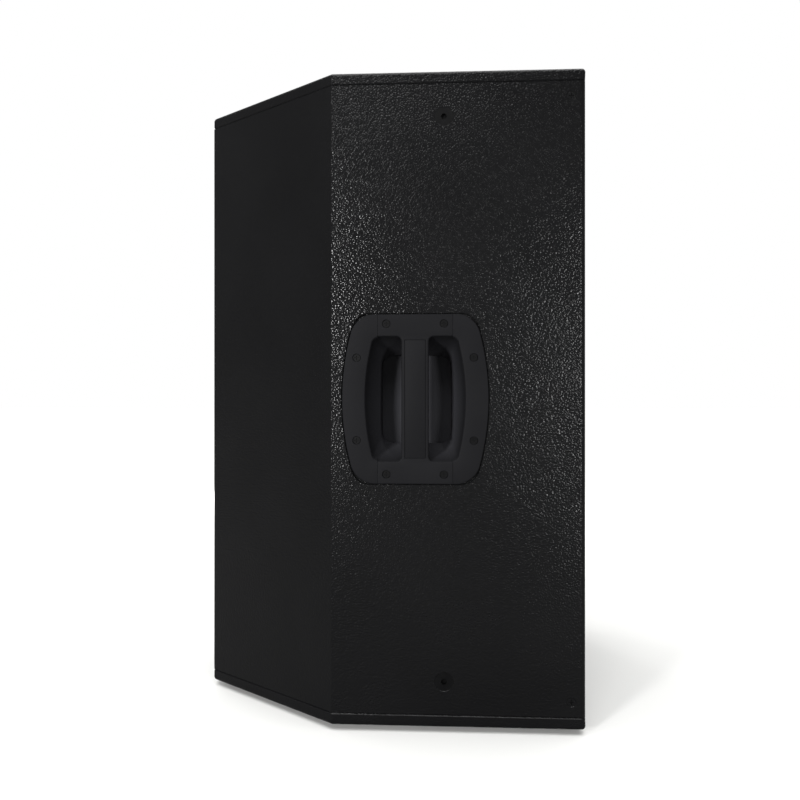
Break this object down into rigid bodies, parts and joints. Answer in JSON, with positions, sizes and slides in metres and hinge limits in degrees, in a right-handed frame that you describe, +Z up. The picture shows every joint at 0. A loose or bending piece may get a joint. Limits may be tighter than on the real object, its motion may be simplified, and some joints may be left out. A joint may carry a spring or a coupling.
{
  "type": "pa speaker cabinet",
  "caption": "Two-way passive PA loudspeaker in a trapezoid plywood cabinet with recessed side handles, fly points, ports, horn and pole socket.",
  "frame": {"origin": "middle of the cabinet's plan box, at the floor under its feet", "axes": "+Z up, -Y out of the front grille, +X to the right when looking along +Y from in front"},
  "size_m": [0.44, 0.438, 0.71],
  "materials": {
    "textured_paint": "sprayed textured coating, satin, fine pebbled grain, over birch plywood",
    "birch_plywood": "bare sanded",
    "painted_screws": "sprayed over with the cabinet's coating",
    "grille_steel": "powder coated, fine texture",
    "open_foam": "open-cell, matt",
    "black_screws": "black oxide, satin",
    "zinc_steel": "zinc plated",
    "cast_frame": "cast and painted",
    "gasket_board": "fibre board",
    "paper_cone": "pressed pulp with a matt coating",
    "copper_winding": "enamelled wire",
    "treated_cloth": "doped cloth, slightly glossy",
    "resin_cloth": "resin-dipped woven cloth",
    "ferrite": "ground ferrite",
    "terminal_plastic": "moulded",
    "moulded_plastic": "moulded, fine grain",
    "titanium": "thin pressed foil",
    "circuit_board": "lacquered",
    "film_capacitor": "wrapped film",
    "resistor_ceramic": "cement",
    "socket_plastic": "moulded",
    "wire_jacket": "soft PVC",
    "wadding": "loose polyester wadding",
    "handle_plastic": "moulded, satin, fine grain",
    "foot_rubber": "moulded"
  },
  "bodies": {
    "cabinet": {"top_panel": "textured_paint", "bottom_panel": "textured_paint", "left_side_panel": "textured_paint", "right_side_panel": "textured_paint", "left_chamfer_panel": "textured_paint", "right_chamfer_panel": "textured_paint", "rear_panel": "textured_paint", "front_baffle": "birch_plywood", "front_battens": "birch_plywood", "cross_brace": "birch_plywood", "batten_screws": "painted_screws", "grille": "grille_steel", "grille_foam": "open_foam", "grille_screws": "black_screws", "woofer_screws": "black_screws", "horn_screws": "black_screws", "plate_screws": "black_screws", "pole_socket_screws": "black_screws", "handle_screws": "black_screws", "fly_screws": "black_screws", "foot_screws": "zinc_steel", "woofer_basket": "cast_frame", "woofer_gasket": "gasket_board", "woofer_surround": "treated_cloth", "woofer_spider": "resin_cloth", "driver_suspension": "resin_cloth", "woofer_top_plate": "zinc_steel", "woofer_yoke": "zinc_steel", "driver_front_plate": "zinc_steel", "driver_gap_plate": "zinc_steel", "fly_inserts": "zinc_steel", "woofer_magnet": "ferrite", "driver_magnet": "ferrite", "woofer_terminals": "terminal_plastic", "horn_flare": "moulded_plastic", "port_tubes": "moulded_plastic", "driver_rear_cover": "moulded_plastic", "pole_socket": "moulded_plastic", "crossover_board": "circuit_board", "crossover_coils": "copper_winding", "crossover_capacitors": "film_capacitor", "crossover_resistors": "resistor_ceramic", "connector_plate": "grille_steel", "speaker_sockets": "socket_plastic", "internal_wiring": "wire_jacket", "top_wadding": "wadding", "left_wadding": "wadding", "right_wadding": "wadding", "left_handle_dish": "handle_plastic", "left_handle_bar": "handle_plastic", "left_handle_insert": "handle_plastic", "right_handle_dish": "handle_plastic", "right_handle_bar": "handle_plastic", "right_handle_insert": "handle_plastic", "feet": "foot_rubber"},
    "cone": {"woofer_cone": "paper_cone", "dust_cap": "paper_cone", "voice_coil": "copper_winding"},
    "diaphragm": {"driver_diaphragm": "titanium"}
  },
  "joints": [
    {"name": "cone_travel", "type": "slide", "parent": "cabinet", "child": "cone", "axis": [0, -1, 0], "range_m": [-0.006, 0.006], "stiffness_N_per_m": 5000, "deforming": ["woofer_surround", "woofer_spider"]},
    {"name": "diaphragm_travel", "type": "slide", "parent": "cabinet", "child": "diaphragm", "axis": [0, -1, 0], "range_m": [-0.0004, 0.0004], "stiffness_N_per_m": 4000, "deforming": ["driver_suspension"]}
  ]
}
